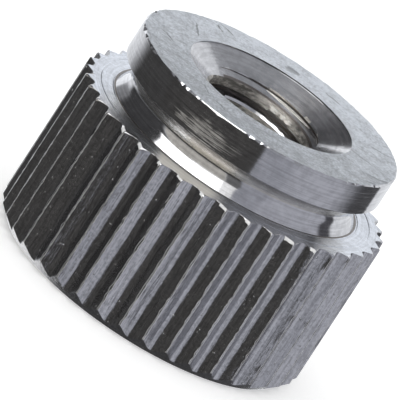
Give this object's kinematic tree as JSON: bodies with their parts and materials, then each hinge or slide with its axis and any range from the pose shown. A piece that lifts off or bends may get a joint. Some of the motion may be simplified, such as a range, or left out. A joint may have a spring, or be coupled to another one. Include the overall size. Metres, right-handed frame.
{
  "type": "knurled nut",
  "caption": "Round thumb nut with a straight-knurled head, an undercut neck and a plain collar, countersunk on its bearing face and threaded right through.",
  "frame": {"origin": "centre of the knurled head's flat end, on the thread axis", "axes": "+Z along the thread axis, from the head's flat end to the collar's bearing face; a crest of the knurl lies on +X"},
  "size_m": [0.02, 0.02, 0.014],
  "materials": {
    "turned_steel": "bright turned steel with fine concentric tool lines, lightly brushed on the collar face"
  },
  "bodies": {
    "root": {"knurled_nut": "turned_steel"}
  },
  "joints": []
}
